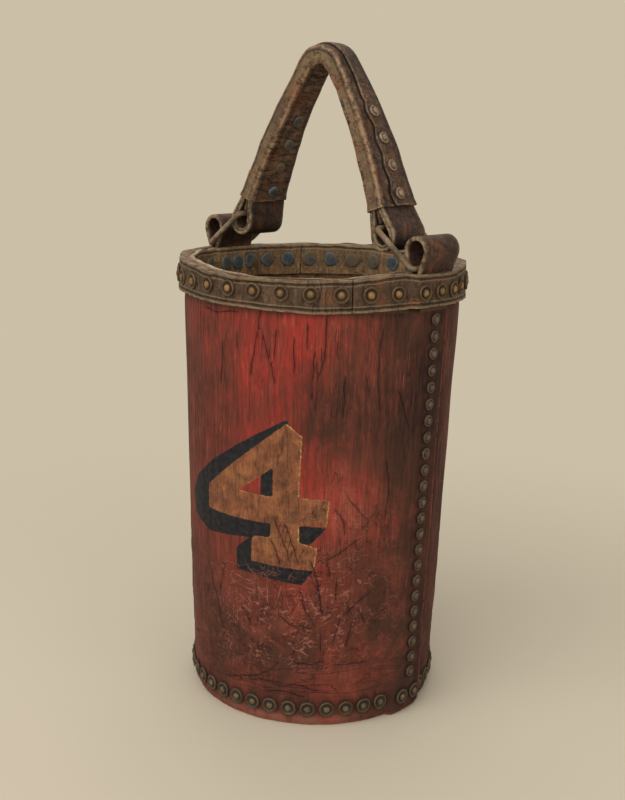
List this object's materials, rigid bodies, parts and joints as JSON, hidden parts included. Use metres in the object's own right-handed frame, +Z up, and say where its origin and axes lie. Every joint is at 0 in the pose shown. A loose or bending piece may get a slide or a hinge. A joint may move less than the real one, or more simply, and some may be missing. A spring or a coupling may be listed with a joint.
{
  "type": "leather fire bucket",
  "caption": "Tall riveted leather bucket with a leather rim band and a stuffed leather handle hung on two wire rings.",
  "frame": {"origin": "centre of the foot, on the surface that the bucket stands on", "axes": "+Z up along the bucket's axis; the two handle tabs are on the X axis, and the riveted side seam is at +X"},
  "size_m": [0.2254, 0.2182, 0.4902],
  "materials": {
    "painted_leather": "old red oil paint on leather, crackled and worn",
    "bottom_leather": "dry brown leather",
    "band_leather": "dark dressed leather with pale raw edges",
    "lining_leather": "dry brown leather",
    "tab_leather": "dark red-brown leather",
    "ring_iron": "rusty forged wire",
    "strap_leather": "dark leather",
    "liner_leather": "pale-edged leather",
    "stuffing": "rolled scrap leather",
    "sleeve_leather": "dark, creased, handled leather",
    "seam_rivet_copper": "dull copper",
    "base_rivet_copper": "dark oxidised copper",
    "rim_rivet_copper": "worn copper",
    "handle_rivet_copper": "dull copper",
    "seam_washer_brass": "dull brass",
    "base_washer_brass": "dark green-brown brass",
    "rim_washer_brass": "worn brass",
    "handle_washer_brass": "dull brass"
  },
  "bodies": {
    "bucket": {"body_wall": "painted_leather", "bottom_cup": "bottom_leather", "rim_band_outer": "band_leather", "rim_band_inner": "lining_leather", "seam_rivets": "seam_rivet_copper", "seam_washers": "seam_washer_brass", "base_rivets": "base_rivet_copper", "base_washers": "base_washer_brass", "rim_rivets": "rim_rivet_copper", "rim_washers": "rim_washer_brass", "tab_left": "tab_leather", "tab_right": "tab_leather"},
    "ring_left": {"ring_left": "ring_iron"},
    "ring_right": {"ring_right": "ring_iron"},
    "handle": {"handle_strap": "strap_leather", "loop_liner_left": "liner_leather", "loop_liner_right": "liner_leather", "handle_core": "stuffing", "handle_sleeve": "sleeve_leather", "handle_rivets_left": "handle_rivet_copper", "handle_washers_left": "handle_washer_brass", "handle_rivets_right": "handle_rivet_copper", "handle_washers_right": "handle_washer_brass"}
  },
  "joints": [
    {"name": "left_ring_swing", "type": "hinge", "parent": "bucket", "child": "ring_left", "pos_m": [-0.101, 0, 0.3384], "axis": [0, 1, 0], "range_deg": [-12, 12]},
    {"name": "handle_rock", "type": "hinge", "parent": "ring_left", "child": "handle", "pos_m": [-0.06866, 0, 0.36378], "axis": [0, 1, 0], "range_deg": [-18, 18]},
    {"name": "right_ring_swing", "type": "hinge", "parent": "bucket", "child": "ring_right", "pos_m": [0.101, 0, 0.3384], "axis": [0, 1, 0], "range_deg": [-12, 12]}
  ],
  "couplings": [
    {"joint": "handle_rock", "follows": "left_ring_swing", "ratio": -1.47},
    {"joint": "right_ring_swing", "follows": "left_ring_swing", "ratio": 1}
  ]
}
